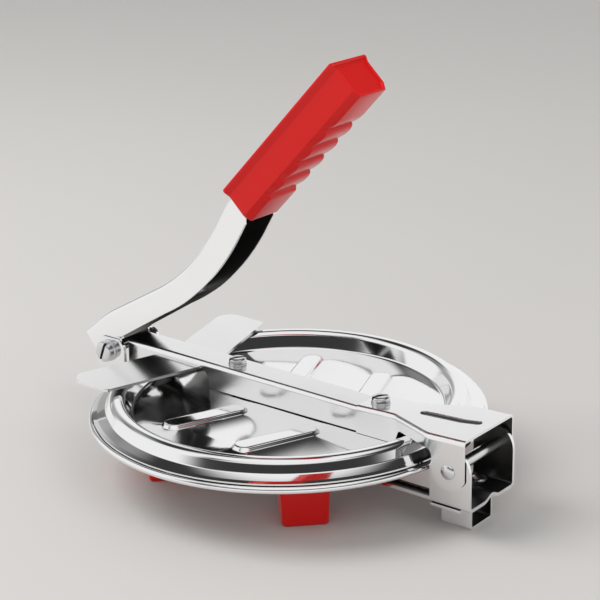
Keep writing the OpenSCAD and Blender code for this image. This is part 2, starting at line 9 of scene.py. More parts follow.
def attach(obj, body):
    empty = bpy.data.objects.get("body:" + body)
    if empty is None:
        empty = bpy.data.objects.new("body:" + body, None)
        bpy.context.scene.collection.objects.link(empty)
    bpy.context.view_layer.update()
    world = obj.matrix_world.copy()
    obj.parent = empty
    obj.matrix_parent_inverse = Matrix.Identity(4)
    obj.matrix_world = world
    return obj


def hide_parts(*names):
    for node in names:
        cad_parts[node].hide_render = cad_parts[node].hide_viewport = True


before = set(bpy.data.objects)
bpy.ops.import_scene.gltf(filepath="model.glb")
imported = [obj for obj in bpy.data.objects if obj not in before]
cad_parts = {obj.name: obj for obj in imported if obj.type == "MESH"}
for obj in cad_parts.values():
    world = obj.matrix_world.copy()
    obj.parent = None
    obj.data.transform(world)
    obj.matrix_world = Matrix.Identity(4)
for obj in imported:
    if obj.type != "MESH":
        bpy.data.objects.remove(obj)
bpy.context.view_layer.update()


# ---- View ----
# The press is seen from its front and a little above, with the lever on the left. A long lens
# keeps its round dishes calm, and the view leans by one degree.
turn, rise, lean = math.radians(38.96), math.radians(18.86), math.radians(1.21)
backward = Vector((math.sin(turn) * math.cos(rise), -math.cos(turn) * math.cos(rise), math.sin(rise)))
level = Vector((math.cos(turn), math.sin(turn), 0))
upward = backward.cross(level)
across = math.cos(lean) * level - math.sin(lean) * upward
upright = math.sin(lean) * level + math.cos(lean) * upward
stand = Matrix.Translation((0.4421, -0.5317, 0.3111))
eye = bpy.data.objects.new("eye", bpy.data.cameras.new("eye"))
eye.data.lens = 103.0
eye.data.sensor_width = 36.0
eye.matrix_world = stand @ Matrix((across, upright, backward)).transposed().to_4x4()
bpy.context.scene.collection.objects.link(eye)
bpy.context.scene.camera = eye
bpy.context.scene.view_settings.view_transform = "Standard"


# ---- Studio ----
# A pale floor in a pale room, with one broad lamp over the lever's side and a weak one over the
# hinge. Mirrored rays see dark zones on the room's walls, which polished steel needs to look round.
class Wire:
    """One output of a node, on which shader maths is written as plain expressions."""

    def __init__(self, paint, socket):
        self.paint = paint
        self.socket = socket

    def maths(self, operation, *terms):
        return self.paint.node("ShaderNodeMath", {"operation": operation}, dict(enumerate(terms))).out(0)

    def __add__(self, other): return self.maths("ADD", self, other)
    def __radd__(self, other): return self.maths("ADD", other, self)
    def __sub__(self, other): return self.maths("SUBTRACT", self, other)
    def __rsub__(self, other): return self.maths("SUBTRACT", other, self)
    def __mul__(self, other): return self.maths("MULTIPLY", self, other)
    def __rmul__(self, other): return self.maths("MULTIPLY", other, self)


class Placed:
    """A node that has been set and wired, with its outputs by name or number."""

    def __init__(self, paint, node):
        self.paint = paint
        self.node = node

    def out(self, key):
        return Wire(self.paint, self.node.outputs[key])


class Wiring:
    """The nodes of one material, of the room or of the fasteners' rows."""

    def __init__(self, name, tree=None):
        self.material = None
        if tree is None:
            self.material = bpy.data.materials.new(name)
            self.material.use_nodes = True
            tree = self.material.node_tree
        tree.nodes.clear()
        self.tree = tree

    def node(self, kind, settings=None, sockets=None):
        """Adds a node: its settings first, then the value or link of each socket."""
        node = self.tree.nodes.new(kind)
        for key, value in (settings or {}).items():
            setattr(node, key, value)
        for key, value in (sockets or {}).items():
            if isinstance(value, Wire):
                self.tree.links.new(value.socket, node.inputs[key])
            else:
                node.inputs[key].default_value = value
        return Placed(self, node)

    def step(self, value, low, high):
        """Rises smoothly from 0 to 1 while a value goes from one level to another."""
        return self.node("ShaderNodeMapRange", {"interpolation_type": "SMOOTHSTEP"},
                         {"Value": value, "From Min": low, "From Max": high}).out(0)

    def noise(self, where, scale, detail=3.0):
        sockets = {"Vector": where, "Scale": scale, "Detail": detail}
        return self.node("ShaderNodeTexNoise", None, sockets).out(0)

    def blend(self, share, first, second):
        """Mixes two colours by a share."""
        return self.node("ShaderNodeMix", {"data_type": "RGBA"}, {0: share, 6: first, 7: second}).out(2)


room = bpy.data.worlds.new("room")
room.use_nodes = True
bpy.context.scene.world = room
air = Wiring("room", room.node_tree)
ray = air.node("ShaderNodeLightPath")
heading = air.node("ShaderNodeTexCoord").out("Generated")
parts = air.node("ShaderNodeSeparateXYZ", None, {0: heading})
to_left = parts.out("X") * -1.0
to_back, height = parts.out("Y"), parts.out("Z")
to_eye = parts.out("X") * math.sin(turn) - parts.out("Y") * math.cos(turn)
below_roof = 1 - air.step(height, 0.80, 0.92)
white_wall = air.step(to_left, 0.24, 0.40) * (1 - air.step(to_back, -0.16, 0.04))
front_wall = air.step(to_eye, 0.25, 0.55)
grey_corner = air.step(to_left, 0.68, 0.84) * air.step(to_back, 0.0, 0.2) * 0.6
fades_left = 1 - 0.7 * air.step(to_left, 0.64, 0.80)
high_band = air.step(height, 0.40, 0.54) * (1 - white_wall) * (1 - front_wall) * fades_left
front_band = front_wall * air.step(height, 0.05, 0.50) * (1 - air.step(height, 0.58, 0.74))
dark = air.node("ShaderNodeClamp", None, {0: (front_band + grey_corner + high_band) * below_roof}).out(0)
mirrored = air.blend(dark, (0.97, 0.97, 0.97, 1), (0.04, 0.04, 0.04, 1))
seen = air.blend(ray.out("Is Camera Ray"), mirrored, (0.74, 0.73, 0.715, 1))
soft_light = air.node("ShaderNodeBackground", None, {"Color": (1, 1, 1, 1), "Strength": 0.62}).out(0)
pale_room = air.node("ShaderNodeBackground", None, {"Color": seen, "Strength": 1.0}).out(0)
shown = ray.out("Is Camera Ray") + ray.out("Is Glossy Ray") + ray.out("Is Transmission Ray")
shown = air.node("ShaderNodeClamp", None, {0: shown}).out(0)
mixed = air.node("ShaderNodeMixShader", None, {0: shown, 1: soft_light, 2: pale_room}).out(0)
air.node("ShaderNodeOutputWorld", None, {0: mixed})

for title, place, size, power in (("lever_lamp", (-0.7, -0.5, 1.2), 0.9, 13.0),
                                  ("hinge_lamp", (0.9, -0.2, 1.0), 0.7, 2.5)):
    lamp = bpy.data.objects.new(title, bpy.data.lights.new(title, "AREA"))
    lamp.data.size = size
    lamp.data.energy = power
    lamp.location = place
    lamp.rotation_euler = (Vector((0, 0, 0.05)) - Vector(place)).to_track_quat("-Z", "Y").to_euler()
    lamp.visible_glossy = False
    bpy.context.scene.collection.objects.link(lamp)

# In mirrors the floor shows a pale glow like the room, but for a round patch under the press that shows its lit
# matt face: painted shadow, darker than the glow, with the press's real shadow in it too.
floor_reach, shadow_r, clear_r = 5, 0.11, 0.24
floor_paint = Wiring("floor")
spot = floor_paint.node("ShaderNodeTexCoord").out("Object")
cloud = floor_paint.noise(spot, 2.0)
tone = floor_paint.blend(cloud, (0.575, 0.56, 0.54, 1), (0.61, 0.595, 0.575, 1))
matt = floor_paint.node("ShaderNodeBsdfPrincipled", None, {"Base Color": tone, "Roughness": 0.8}).out(0)
pale = floor_paint.node("ShaderNodeEmission", None, {"Color": (0.96, 0.955, 0.94, 1), "Strength": 1.0}).out(0)
away = floor_paint.node("ShaderNodeVectorMath", {"operation": "LENGTH"}, {0: spot}).out("Value")
in_mirrors = floor_paint.node("ShaderNodeLightPath").out("Is Glossy Ray")
pale_share = in_mirrors * (0.1 + floor_paint.step(away, shadow_r, clear_r) * 0.8)
mixed = floor_paint.node("ShaderNodeMixShader", None, {0: pale_share, 1: matt, 2: pale}).out(0)
floor_paint.node("ShaderNodeOutputMaterial", None, {0: mixed})
floor_mesh = bpy.data.meshes.new("floor")
corners = [(x * floor_reach, y * floor_reach, 0) for x, y in ((-1, -1), (1, -1), (1, 1), (-1, 1))]
floor_mesh.from_pydata(corners, [], [(0, 1, 2, 3)])
floor_mesh.materials.append(floor_paint.material)
floor = bpy.data.objects.new("floor", floor_mesh)
bpy.context.scene.collection.objects.link(floor)


# ---- Lower dish ----
# The bed that the dough lies on: a disc of stainless sheet, polished on a spindle, whose edge is
# rolled outwards round a wire. It carries every other fixed piece on its underside.
axis_x = 0.0045  # metres from the middle of the whole press to the dishes' axis, towards the hinge


def steel(name, grain, rough=0.045, tint=(0.88, 0.88, 0.885)):
    """Stainless sheet. Its faint polishing lines run round ("spun") or along X ("along")."""
    paint = Wiring(name)
    place = paint.node("ShaderNodeTexCoord").out("Object")
    if grain == "spun":
        centred = paint.node("ShaderNodeMapping", None, {0: place, 1: (-axis_x, 0, 0)}).out(0)
        flat = paint.node("ShaderNodeVectorMath", {"operation": "MULTIPLY"},
                          {0: centred, 1: (1, 1, 0)}).out(0)
        radius = paint.node("ShaderNodeVectorMath", {"operation": "LENGTH"}, {0: flat}).out("Value")
        lines = paint.node("ShaderNodeCombineXYZ", None, {0: radius * 900, 1: 0.0, 2: 0.0}).out(0)
    else:
        lines = paint.node("ShaderNodeMapping", None, {0: place, 3: (18, 900, 900)}).out(0)
    streak = paint.noise(lines, 1.0, 2.0)
    haze = paint.noise(place, 38.0)
    broad = paint.noise(place, 9.0, 2.0)
    colour = paint.blend(haze * 0.6 + streak * 0.2, (*tint, 1), tuple(c * 0.93 for c in tint) + (1,))
    roughness = rough + haze * 0.02 + streak * 0.015
    waves = paint.node("ShaderNodeBump", None, {"Strength": 0.03, "Distance": 0.003, "Height": broad}).out(0)
    dents = paint.node("ShaderNodeBump", None,
                       {"Strength": 0.03, "Distance": 0.00004, "Height": streak, "Normal": waves}).out(0)
    shader = paint.node("ShaderNodeBsdfPrincipled", None, {
        "Base Color": colour, "Metallic": 1.0, "Roughness": roughness, "Normal": dents}).out(0)
    paint.node("ShaderNodeOutputMaterial", None, {0: shader})
    return paint.material


def arc(x, y, radius, start, step, count, rise=None):
    """Points round a centre by equal steps in degrees, on a circle or with a rise of their own."""
    angles = [math.radians(start + step * k) for k in range(count)]
    return [(x + radius * math.cos(a), y + (rise or radius) * math.sin(a)) for a in angles]


def lathe(profile, steps=96, centre=(0, 0, 0), matrix=None):
    """A closed solid turned about Z from the points (radius, height) of its half section."""
    shape = bmesh.new()
    rings = []
    for radius, height in profile:
        if radius < 1e-6:
            rings.append([shape.verts.new((0, 0, height))] * steps)
        else:
            rings.append([shape.verts.new((*p, height)) for p in arc(0, 0, radius, 0, 360 / steps, steps)])
    pairs = list(zip(rings, rings[1:]))
    if profile[0][0] > 1e-6:
        pairs.append((rings[-1], rings[0]))
    for inner, outer in pairs:
        for k in range(steps):
            corners = []
            for v in (inner[k], outer[k], outer[(k + 1) % steps], inner[(k + 1) % steps]):
                if v not in corners:
                    corners.append(v)
            if len(corners) > 2:
                shape.faces.new(corners)
    bmesh.ops.transform(shape, matrix=Matrix.Translation(centre) @ (matrix or Matrix()), verts=shape.verts)
    return shape


def plain(obj):
    """Swaps an object's live modifiers for the mesh that they make."""
    shape = obj.evaluated_get(bpy.context.evaluated_depsgraph_get())
    made = bpy.data.meshes.new_from_object(shape)
    obj.modifiers.clear()
    obj.data = made


def meshed(name, shape):
    """The mesh of a finished shape, with its faces outwards."""
    bmesh.ops.recalc_face_normals(shape, faces=shape.faces)
    mesh = bpy.data.meshes.new(name)
    shape.to_mesh(mesh)
    shape.free()
    return mesh


def piece(name, shape, material, body, nodes=(), edge=0.0, sharp=35.0, inner=None):
    """Makes a piece from a shape in millimetres about the dishes' axis and seats it on its body."""
    mesh = meshed(name, shape)
    mesh.transform(Matrix.Translation((axis_x, 0, 0)) @ Matrix.Scale(0.001, 4))
    for each in (material, inner):
        if each:
            mesh.materials.append(each)
    mesh.polygons.foreach_set("use_smooth", [True] * len(mesh.polygons))
    obj = bpy.data.objects.new(name, mesh)
    bpy.context.scene.collection.objects.link(obj)
    if edge:
        bevel = obj.modifiers.new("edge", "BEVEL")
        bevel.width = edge / 1000
        bevel.segments = 2
        bevel.limit_method = "ANGLE"
        bevel.angle_limit = math.radians(sharp)
        weighted = obj.modifiers.new("normals", "WEIGHTED_NORMAL")
        weighted.keep_sharp = True
        plain(obj)
    else:
        mesh.set_sharp_from_angle(angle=math.radians(sharp))
    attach(obj, body)
    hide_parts(*(nodes or [name]))


bed_top, bed_under, bed_mid = 26.8, 25.8, 40
rim_r, roll_r, roll_z, roll_start, roll_end = 86.0, 1.45, 27.1, 81.6, 82.6
roll = arc(rim_r - roll_r, roll_z, roll_r, 184, -12, 26)
bed = ([(0, bed_top), (bed_mid, bed_top), (roll_start, bed_top)] + roll
       + [(roll_end, bed_under), (bed_mid, bed_under), (0, bed_under)])
spun_steel = steel("spun_steel", "spun", 0.06)
piece("lower_dish", lathe(bed, 256), spun_steel, "base", ["base_dish"], sharp=50)


# ---- Folded sheets ----
# The channel under the bed is the press's backbone, cut from flat sheet and folded up at both
# sides. Like every folded piece it is a flat blank with its outline cut, laid round its bends.
class Sheet:
    """A sheet with two faces a thickness apart, gathered from blanks and grids that meet."""

    def __init__(self):
        self.spots = {}
        self.faces = []
        self.in_shade = []

    def spot(self, top, low):
        """The number of a pair of points, which blanks and grids share where they meet."""
        key = tuple(round(c, 3) for c in (*top, *low))
        return self.spots.setdefault(key, (len(self.spots), tuple(top), tuple(low)))[0]

    def blank(self, loops, place, creases=(), marks=(), in_shade=lambda u, v: False):
        """Adds a flat blank inside the first loop and outside the others, laid by place(u, v)."""
        points, edges = [], []
        for loop in list(loops) + list(marks):
            first = len(points)
            points += [Vector(p[:2]) for p in loop]
            edges += [(first + i, first + (i + 1) % len(loop)) for i in range(len(loop))]
        low_u, high_u = min(p[0] for p in points) - 1, max(p[0] for p in points) + 1
        low_v, high_v = min(p[1] for p in points) - 1, max(p[1] for p in points) + 1
        for way, value in creases:
            edges.append((len(points), len(points) + 1))
            if way == "v":
                points += [Vector((low_u, value)), Vector((high_u, value))]
            else:
                points += [Vector((value, low_v)), Vector((value, high_v))]
        found, _, triangles, _, _, _ = delaunay_2d_cdt(points, edges, [], 0, 1e-6)
        for corners in triangles:
            u = sum(found[i][0] for i in corners) / 3
            v = sum(found[i][1] for i in corners) / 3
            crossings = 0
            for loop in loops:
                for a, b in zip(loop, list(loop[1:]) + [loop[0]]):
                    if (a[1] > v) != (b[1] > v) and u < a[0] + (v - a[1]) / (b[1] - a[1]) * (b[0] - a[0]):
                        crossings += 1
            if crossings % 2:
                self.faces.append([self.spot(*place(*found[i])) for i in corners])
                # Flags the faces that take the painted-shade material.
                self.in_shade.append(in_shade(u, v))

    def grid(self, rows):
        """Adds a grid from rows of (top, low) pairs."""
        marked = [[self.spot(*pair) for pair in row] for row in rows]
        for near, far in zip(marked, marked[1:]):
            for k in range(len(near) - 1):
                self.faces.append([near[k], near[k + 1], far[k + 1], far[k]])
                self.in_shade.append(False)

    def solid(self, flat=0.3):
        """The closed shape: both faces, the inner one and the shaded top faces given the painted-shade material,
        and walls round every free edge.
        """
        shape = bmesh.new()
        order = sorted(self.spots.values())
        tops = [shape.verts.new(top) for _, top, _ in order]
        lows = [shape.verts.new(low) for _, _, low in order]
        sides = {}
        for corners, in_shade in zip(self.faces, self.in_shade):
            corners = [c for i, c in enumerate(corners) if c != corners[i - 1]]
            if len(set(corners)) < 3:
                continue
            shape.faces.new([tops[c] for c in corners]).material_index = int(in_shade)
            shape.faces.new([lows[c] for c in reversed(corners)]).material_index = 1
            for a, b in zip(corners, corners[1:] + corners[:1]):
                sides.setdefault(frozenset((a, b)), []).append((a, b))
        for uses in sides.values():
            if len(uses) == 1:
                a, b = uses[0]
                shape.faces.new([tops[b], tops[a], lows[a], lows[b]])
        if flat:
            bmesh.ops.dissolve_limit(shape, angle_limit=math.radians(flat), verts=shape.verts,
                                     edges=shape.edges, delimit={"MATERIAL"})
        return shape


def rounded(corners, closed=False, step=9.0):
    """The points along straight lines whose corners, (x, y, radius), are rounded by arcs."""
    points = []
    count = len(corners)
    for i, (x, y, radius) in enumerate(corners):
        here = Vector((x, y))
        if radius <= 0 or (not closed and i in (0, count - 1)):
            points.append(here)
            continue
        before = (Vector(corners[i - 1][:2]) - here).normalized()
        after = (Vector(corners[(i + 1) % count][:2]) - here).normalized()
        half = before.angle(after) / 2
        centre = here + (before + after).normalized() * radius / math.sin(half)
        start = here + before * radius / math.tan(half) - centre
        end = here + after * radius / math.tan(half) - centre
        sweep = math.atan2(start.x * end.y - start.y * end.x, start.dot(end))
        pieces = max(2, round(abs(math.degrees(sweep)) / step))
        for k in range(pieces + 1):
            points.append(centre + Matrix.Rotation(sweep * k / pieces, 2) @ start)
    return points


def trough(half, open_z, shut_z, bend, step):
    """The outer line of a channel's section in Y and Z, from one free edge round to the other."""
    corners = [(-half, open_z, 0), (-half, shut_z, bend), (half, shut_z, bend), (half, open_z, 0)]
    return rounded(corners, step=step)


def fold(path, thick, inside):
    """How a blank runs round a section in Y and Z: place(u, v), its creases and its length."""
    reach = [0.0]
    for a, b in zip(path, path[1:]):
        reach.append(reach[-1] + (b - a).length)
    normals = []
    for i in range(len(path)):
        before = (path[i] - path[i - 1]).normalized() if i else None
        after = (path[i + 1] - path[i]).normalized() if i + 1 < len(path) else None
        run = ((before or after) + (after or before)).normalized()
        normals.append(Vector((-run.y, run.x)) * inside / max(0.2, run.dot(before or after)))

    def place(u, v):
        i = 0
        while i < len(path) - 2 and v > reach[i + 1] + 1e-6:
            i += 1
        share = (v - reach[i]) / (reach[i + 1] - reach[i])
        at = path[i].lerp(path[i + 1], share)
        normal = normals[i].lerp(normals[i + 1], min(1, max(0, share)))
        if abs(path[i + 1].x - path[i].x) < 1e-6 or abs(path[i + 1].y - path[i].y) < 1e-6:
            straight = (path[i + 1] - path[i]).normalized()
            normal = Vector((-straight.y, straight.x)) * inside
        low = at + normal * thick
        return (u, at.x, at.y), (u, low.x, low.y)

    return place, [("v", r) for r in reach[1:-1]], reach[-1]


def mirrored_outline(side, length):
    """A blank's outline from the line of one side, with the same line mirrored on the other."""
    return side + [(x, length - v) for x, v in reversed(side)]


plain_steel = steel("folded_steel", "along", 0.07)
# Near-black steel: painted shade for the sheets' inner faces, the screw slots and the yoke's groove floor.
painted_shade_steel = steel("painted_shade_sheet", "along", 0.28, (0.15, 0.148, 0.145))
channel_l, channel_half, channel_low, channel_bend, channel_thick = 82.5, 11.7, 13.5, 2.2, 1.2
section = trough(channel_half, bed_under, channel_low, channel_bend, 15)
place, creases, length = fold(section, channel_thick, 1)
channel = Sheet()
channel.blank([[(-channel_l, 0), (channel_l, 0), (channel_l, length), (-channel_l, length)]], place, creases)
piece("base_channel", channel.solid(), plain_steel, "base", edge=0.15, inner=painted_shade_steel)


# ---- Hinge bracket ----
# A deep folded bracket riveted under the channel, with two round-topped walls for the hinge pin.
# A bead is pressed up into its floor to stiffen its open mouth.
hinge_x, hinge_z = 95, 28.5
bracket_half, bracket_low, bracket_top, bracket_bend, bracket_thick = 16.6, 12, 38, 2.4, 1.5
bracket_start, wall_start, wall_end, wall_round = 50.0, 85.3, 104.2, 9.2
bead_half, bead_high, bead_start, bead_run = 5.5, 1.8, 80, 4
section = trough(bracket_half, bracket_top, bracket_low, bracket_bend, 11.25)
place_flat, creases, length = fold(section, bracket_thick, 1)
bend_v = bracket_top - bracket_low - bracket_bend + bracket_bend * math.pi / 2
pin_v = bracket_top - hinge_z
side = [(bracket_start, bend_v), (wall_start, bend_v), (wall_start, pin_v)]
side += arc(hinge_x, pin_v, wall_round, 192, 12, 14) + [(wall_end, pin_v)]


def bracket_place(u, v):
    """The folded blank at a point, lifted where the bead is pressed up."""
    top, low = place_flat(u, v)
    lift = bead_high * 0.5 * (1 + math.cos(math.pi * min(1, abs(top[1]) / bead_half)))
    lift *= min(1, max(0, (u - bead_start) / bead_run))
    return (top[0], top[1], top[2] + lift), (low[0], low[1], low[2] + lift)


creases += [("v", length / 2 + bead_half * k / 8) for k in range(-8, 9)]
creases += [("u", bead_start + k) for k in range(bead_run + 1)]
bracket = Sheet()
bracket.blank([mirrored_outline(side, length)], bracket_place, creases)
piece("hinge_bracket", bracket.solid(), plain_steel, "base", edge=0.18, inner=painted_shade_steel)


# ---- Hinge leg ----
# A small hat-shaped foot folded from strip. Its lips are riveted under the bracket's mouth and
# its floor stands on the table, so that the hinge end can't tip when the lever is pressed.
leg_half, lip_half, lip_top, lip_bend, leg_bend, leg_thick = 8, 16, 10.8, 0.5, 1.9, 1.2
leg_start, leg_end = 85.3, 99.4
section = rounded([(-lip_half, lip_top, 0), (-leg_half, lip_top, lip_bend), (-leg_half, 0, leg_bend),
                   (leg_half, 0, leg_bend), (leg_half, lip_top, lip_bend), (lip_half, lip_top, 0)], step=15)
place, creases, length = fold(section, leg_thick, 1)
leg = Sheet()
leg.blank([[(leg_start, 0), (leg_end, 0), (leg_end, length), (leg_start, length)]], place, creases)
piece("hinge_leg", leg.solid(), plain_steel, "base", edge=0.15, inner=painted_shade_steel)


# ---- Lever fork ----
# The bracket at the other end, folded up into two tall ears that hold the lever's pivot screw.
# Its floor runs back under the channel and is riveted to it.
fork_half, fork_low, fork_bend, fork_thick, fork_end = 11.9, 12, 2.4, 1.5, -50
ear_top, ear_left, ear_right, ear_round, root_round = 41.8, -103.7, -86.6, 4.0, 1.0
place, creases, length = fold(trough(fork_half, ear_top, fork_low, fork_bend, 11.25), fork_thick, 1)
bend_v = ear_top - fork_low - fork_bend + fork_bend * math.pi / 2
ear = [(ear_left, bend_v, 0), (ear_left, 0, ear_round), (ear_right, 0, ear_round),
       (ear_right, bend_v, root_round), (fork_end, bend_v, 0)]
fork = Sheet()
fork.blank([mirrored_outline([tuple(p) for p in rounded(ear)], length)], place, creases)
piece("lever_fork", fork.solid(), plain_steel, "base", edge=0.18, inner=painted_shade_steel)


# ---- Rivets and bed screws ----
# Steel rivets with low heads join the channel, the brackets and the leg. Two screws are welded
# flush into the bed and hold the channel, with a nut below on each.
def turned_steel(name, rough=0.22, tint=(0.66, 0.66, 0.67)):
    """Turned or cold-formed steel, a little duller than the sheet."""
    paint = Wiring(name)
    place = paint.node("ShaderNodeTexCoord").out("Object")
    grit = paint.noise(place, 900.0, 2.0)
    haze = paint.noise(place, 160.0)
    colour = paint.blend(haze, (*tint, 1), tuple(c * 0.86 for c in tint) + (1,))
    bump = paint.node("ShaderNodeBump", None, {"Strength": 0.08, "Distance": 0.00005, "Height": grit}).out(0)
    shader = paint.node("ShaderNodeBsdfPrincipled", None, {
        "Base Color": colour, "Metallic": 1.0, "Roughness": rough + grit * 0.06 + haze * 0.05,
        "Normal": bump}).out(0)
    paint.node("ShaderNodeOutputMaterial", None, {0: shader})
    return paint.material


fastener_rows = bpy.data.node_groups.new("fastener_rows", "GeometryNodeTree")
fastener_rows.interface.new_socket(name="Geometry", in_out="OUTPUT", socket_type="NodeSocketGeometry")
for title, kind in (("Fastener", "Object"), ("Columns", "Int"), ("Rows", "Int"), ("Column Pitch", "Float"),
                    ("Row Pitch", "Float"), ("Centre", "Vector"), ("Turn", "Float"), ("Finish", "Material")):
    fastener_rows.interface.new_socket(name=title, in_out="INPUT", socket_type="NodeSocket" + kind)
rows = Wiring("fastener_rows", fastener_rows)
given = rows.node("NodeGroupInput")
places = rows.node("GeometryNodeMeshGrid", None, {
    "Size X": (given.out("Columns") - 1) * given.out("Column Pitch"),
    "Size Y": (given.out("Rows") - 1) * given.out("Row Pitch"),
    "Vertices X": given.out("Columns"), "Vertices Y": given.out("Rows")}).out("Mesh")
moved = rows.node("GeometryNodeSetPosition", None, {"Geometry": places, "Offset": given.out("Centre")}).out(0)
fastener = rows.node("GeometryNodeObjectInfo", None, {"Object": given.out("Fastener")}).out("Geometry")
angle = rows.node("ShaderNodeCombineXYZ", None, {"Z": given.out("Turn")}).out(0)
copies = rows.node("GeometryNodeInstanceOnPoints", None,
                   {"Points": moved, "Instance": fastener, "Rotation": angle}).out(0)
real = rows.node("GeometryNodeRealizeInstances", None, {0: copies}).out(0)
done = rows.node("GeometryNodeSetMaterial", None, {"Geometry": real, "Material": given.out("Finish")}).out(0)
rows.node("NodeGroupOutput", None, {0: done})


def in_rows(name, shape, material, body, columns, rows, pitch, centre, nodes=(), angle=0.0, sharp=35.0):
    """Sets copies of a shape in rows about a centre, all sizes in millimetres."""
    mesh = meshed(name + "_one", shape)
    mesh.transform(Matrix.Scale(0.001, 4))
    mesh.polygons.foreach_set("use_smooth", [True] * len(mesh.polygons))
    mesh.set_sharp_from_angle(angle=math.radians(sharp))
    one = bpy.data.objects.new(name + "_one", mesh)
    obj = bpy.data.objects.new(name, bpy.data.meshes.new(name))
    for each in (one, obj):
        bpy.context.scene.collection.objects.link(each)
    set_out = obj.modifiers.new("rows", "NODES")
    set_out.node_group = fastener_rows
    values = {"Fastener": one, "Columns": columns, "Rows": rows, "Column Pitch": pitch[0] / 1000,
              "Row Pitch": pitch[1] / 1000, "Turn": angle, "Finish": material,
              "Centre": (centre[0] / 1000 + axis_x, centre[1] / 1000, centre[2] / 1000)}
    for socket in fastener_rows.interface.items_tree:
        if socket.in_out == "INPUT":
            set_out[socket.identifier] = values[socket.name]
    plain(obj)
    bpy.data.objects.remove(one)
    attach(obj, body)
    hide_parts(*(nodes or [name]))


def rivet(low, high, radius=2.0, head=3.4, rise=1.2):
    """A rivet between two heights, with a domed head at each end."""
    dome = arc(0, 0, head, 0, 18, 5, rise) + [(0, rise)]
    return lathe([(r, low - z) for r, z in reversed(dome)] + [(radius, low), (radius, high)]
                 + [(r, high + z) for r, z in dome], 32)


fastener_steel = turned_steel("fastener_steel")
for title, low, high, columns, pitch, x in (
        ("hinge_rivets", bracket_low, channel_low + channel_thick, 2, (16, 14), 68),
        ("fork_rivets", fork_low, channel_low + channel_thick, 2, (16, 10), -68),
        ("leg_rivets", lip_top, bracket_low + bracket_thick, 1, (0, 23.1), 90.5)):
    in_rows(title, rivet(low, high), fastener_steel, "base", columns, 2, pitch, (x, 0, 0))
screw_r = 2.0
screw_top = [(screw_r, bed_top), (screw_r - 0.05, bed_top + 0.04), (0, bed_top + 0.04)]
stud = [(0, 9.5), (1.6, 9.5), (screw_r, 9.9), (screw_r, 10.5), (2.9, 10.5), (3.4, 11.0), (3.4, 13.0),
        (2.9, channel_low), (screw_r, channel_low)] + screw_top
in_rows("base_screws", lathe(stud, 24), fastener_steel, "base", 2, 1, (60, 0), (0, 0, 0))


# ---- Feet ----
# Blocks moulded from glossy red plastic, a little narrower at the table, with a recess below for
# the head of the screw that holds each of them. They are turned so that a face looks outwards.
def red_plastic(name):
    """Glossy moulded plastic with a fine skin and slight sink marks."""
    paint = Wiring(name)
    place = paint.node("ShaderNodeTexCoord").out("Object")
    skin = paint.noise(place, 1400.0, 2.0)
    sink = paint.noise(place, 55.0, 2.0)
    flow = paint.noise(place, 14.0)
    colour = paint.blend(flow, (0.68, 0.004, 0.003, 1), (0.76, 0.007, 0.005, 1))
    low = paint.node("ShaderNodeBump", None, {"Strength": 0.12, "Distance": 0.0008, "Height": sink}).out(0)
    fine = paint.node("ShaderNodeBump", None,
                      {"Strength": 0.10, "Distance": 0.00004, "Height": skin, "Normal": low}).out(0)
    shader = paint.node("ShaderNodeBsdfPrincipled", None, {
        "Base Color": colour, "Roughness": 0.24 + flow * 0.06 + skin * 0.05, "Specular IOR Level": 0.3,
        "Normal": fine}).out(0)
    paint.node("ShaderNodeOutputMaterial", None, {0: shader})
    return paint.material


def block_ring(half, radius, z):
    """A square ring with round corners, as points in order round the axis."""
    corners = [(half, -half, radius), (half, half, radius), (-half, half, radius), (-half, -half, radius)]
    return [(p.x, p.y, z) for p in rounded(corners, True, 11.25)]


def lofted(rings):
    """A closed solid through rings of as many points each."""
    shape = bmesh.new()
    marked = [[shape.verts.new(p) for p in ring] for ring in rings]
    for near, far in zip(marked, marked[1:]):
        for k in range(len(near)):
            shape.faces.new((near[k - 1], near[k], far[k], far[k - 1]))
    shape.faces.new(marked[0])
    shape.faces.new(list(reversed(marked[-1])))
    return shape


red_material = red_plastic("red_plastic")
foot_half, foot_draft, foot_corner, foot_edge, foot_circle = 10.5, 0.8, 2.0, 1.2, 52.0
recess_r, recess_deep, play = 3.6, 8.0, 0.04
foot_pitch = foot_circle * math.sqrt(2)
rings = [block_ring(foot_half, foot_corner, bed_under)]
for k in range(7):
    bend = math.radians(15 * k)
    rings.append(block_ring(foot_half - foot_draft - foot_edge * (1 - math.cos(bend)), foot_corner,
                            foot_edge * (1 - math.sin(bend))))
bore = [(screw_r + play, bed_under), (4.0, 0), (recess_r + play, 0.3), (recess_r + play, recess_deep),
        (screw_r + play, recess_deep), (screw_r + play, bed_under - 0.01)]
round_rings = [[(radius * x / math.hypot(x, y), radius * y / math.hypot(x, y), z) for x, y, _ in rings[-1]]
               for radius, z in bore]
in_rows("feet", lofted(round_rings[:1] + rings + round_rings[1:]), red_material, "base",
        2, 2, (foot_pitch, foot_pitch), (0, 0, 0),
        ["foot_hinge_front", "foot_hinge_back", "foot_lever_front", "foot_lever_back"], math.radians(45), 50)
foot_screw = [(0, 5.8), (3.2, 5.8), (recess_r, 6.2), (recess_r, recess_deep),
              (screw_r, recess_deep)] + screw_top
in_rows("foot_screws", lathe(foot_screw, 32), fastener_steel, "base",
        2, 2, (foot_pitch, foot_pitch), (0, 0, 0))


# ---- Upper dish ----
# The pressing dish: a flat floor inside a steep wall, a round crest, and a stepped flange that
# closes over the rolled rim. Two pairs of beads are pressed up in its floor against warping.
rib_half, rib_long, rib_high, rib_shoulder, rib_crown = 5.5, 14.5, 1.4, 1.6, 2.8
ribs = [(x, s * 33.5, math.radians(-s * 68)) for x in (-18.5, 20.5) for s in (-1, 1)]
steps, floor_edge, floor_top, crest = 256, 64.0, 28.8, 36.1
dish_thick, flange_start, flange_thick = 1.0, 80, 0.62


